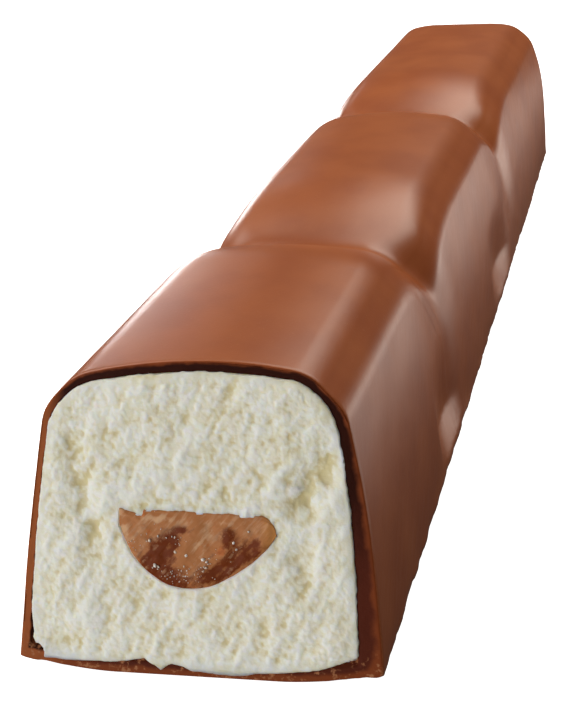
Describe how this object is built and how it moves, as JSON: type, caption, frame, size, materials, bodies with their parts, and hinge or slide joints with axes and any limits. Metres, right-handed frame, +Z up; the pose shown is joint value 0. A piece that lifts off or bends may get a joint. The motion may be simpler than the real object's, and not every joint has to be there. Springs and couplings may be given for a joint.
{
  "type": "ice cream bar",
  "caption": "Milk-chocolate-coated ice cream bar with a humped top, cut across at one end to show vanilla ice cream round a half-moon caramel core.",
  "frame": {"origin": "under the middle of the bounding box, on the plane the bar lies on", "axes": "+Z up, +Y along the bar from its cut face to its whole end, +X to the right seen from the cut face"},
  "size_m": [0.026, 0.1276, 0.0211],
  "materials": {
    "milk_chocolate": "smooth satin chocolate with soft highlights",
    "vanilla_ice_cream": "matt, crumbly frozen cream",
    "caramel": "dense fibrous caramel, moist sheen"
  },
  "bodies": {
    "root": {"chocolate_coating": "milk_chocolate", "ice_cream": "vanilla_ice_cream", "caramel_core": "caramel"}
  },
  "joints": []
}
